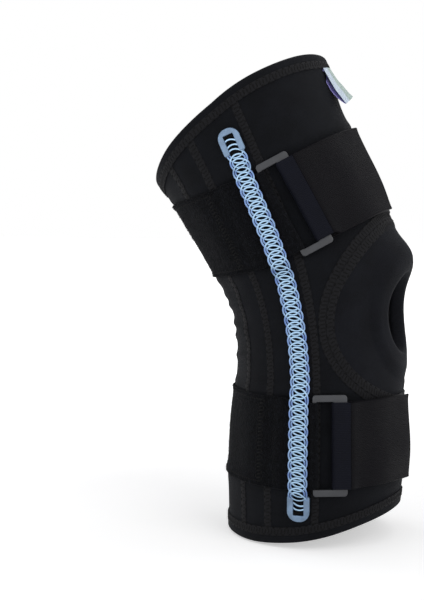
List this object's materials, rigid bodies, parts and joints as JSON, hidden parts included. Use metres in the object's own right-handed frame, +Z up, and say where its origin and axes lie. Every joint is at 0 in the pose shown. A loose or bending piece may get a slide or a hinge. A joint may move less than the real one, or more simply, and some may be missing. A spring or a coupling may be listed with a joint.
{
  "type": "knee brace",
  "caption": "Open-kneecap stretch knee sleeve with side spiral stays, padded kneecap panel and two loop-buckle straps that fold back on themselves.",
  "frame": {"origin": "middle of the leg at the height of the knee axis, inside the sleeve", "axes": "+Z up along the calf, kneecap opening faces -Y, lateral side with the buckles at -X, knee axis along X, 6 mm behind the origin"},
  "size_m": [0.1336, 0.1714, 0.3048],
  "materials": {
    "sleeve_cloth": "matte knitted jersey over neoprene, near black",
    "panel_cloth": "smooth stretch jersey, near black with a slight blue cast",
    "lining_mesh": "soft stretch insert, matte black",
    "loop_pile": "fuzzy brushed loop pile, matte black",
    "elastic": "fine ribbed elastic webbing, satin, blue-black",
    "hook_tape": "stiff hook tape, black",
    "buckle_plastic": "moulded dark grey plastic, satin",
    "spring_steel": "flat spiral spring steel, bright with a blue cast",
    "cap_metal": "pale blue-grey coated crimp caps",
    "foam": "closed-cell foam ring",
    "thread": "black polyester thread",
    "tag_cloth": "woven satin tag, off-white, with a blue edge"
  },
  "bodies": {
    "thigh": {"thigh_front_panel": "sleeve_cloth", "thigh_back_panel": "sleeve_cloth", "top_hem": "sleeve_cloth", "patella_panel": "panel_cloth", "patella_buttress": "foam", "popliteal_panel": "lining_mesh", "lateral_stay_channel": "sleeve_cloth", "medial_stay_channel": "sleeve_cloth", "lateral_stay": "spring_steel", "medial_stay": "spring_steel", "stay_top_caps": "cap_metal", "stay_top_tacks": "thread", "upper_strap_anchor": "loop_pile", "upper_strap": "elastic", "cloth_tag": "tag_cloth"},
    "calf": {"calf_front_panel": "sleeve_cloth", "calf_back_panel": "sleeve_cloth", "bottom_hem": "sleeve_cloth", "stay_bottom_caps": "cap_metal", "stay_bottom_tacks": "thread", "lower_strap_anchor": "loop_pile", "lower_strap": "elastic"},
    "upper_buckle": {"upper_buckle": "buckle_plastic", "upper_strap_fold": "elastic"},
    "upper_tab": {"upper_tab": "elastic", "upper_hook_patch": "hook_tape"},
    "lower_buckle": {"lower_buckle": "buckle_plastic", "lower_strap_fold": "elastic"},
    "lower_tab": {"lower_tab": "elastic", "lower_hook_patch": "hook_tape"}
  },
  "joints": [
    {"name": "knee_flexion", "type": "hinge", "parent": "thigh", "child": "calf", "pos_m": [0, 0.006, 0], "axis": [1, 0, 0], "range_deg": [-23.5, 66.5], "stiffness_Nm_per_rad": 1, "deforming": ["patella_panel", "patella_buttress", "popliteal_panel", "lateral_stay_channel", "medial_stay_channel", "lateral_stay", "medial_stay"]},
    {"name": "upper_buckle_swivel", "type": "hinge", "parent": "thigh", "child": "upper_buckle", "pos_m": [-0.06152, 0.00434, 0.06041], "axis": [0.0965, -0.4771, -0.8736], "range_deg": [0, 15]},
    {"name": "upper_tab_peel", "type": "hinge", "parent": "upper_buckle", "child": "upper_tab", "pos_m": [-0.05698, -0.01439, 0.07115], "axis": [0.0965, -0.4771, -0.8736], "range_deg": [0, 120]},
    {"name": "lower_buckle_swivel", "type": "hinge", "parent": "calf", "child": "lower_buckle", "pos_m": [-0.05794, -0.01775, -0.08106], "axis": [-0.0046, -0.0219, -0.9997], "range_deg": [0, 15]},
    {"name": "lower_tab_peel", "type": "hinge", "parent": "lower_buckle", "child": "lower_tab", "pos_m": [-0.05285, -0.03921, -0.08062], "axis": [-0.0046, -0.0219, -0.9997], "range_deg": [0, 120]}
  ]
}
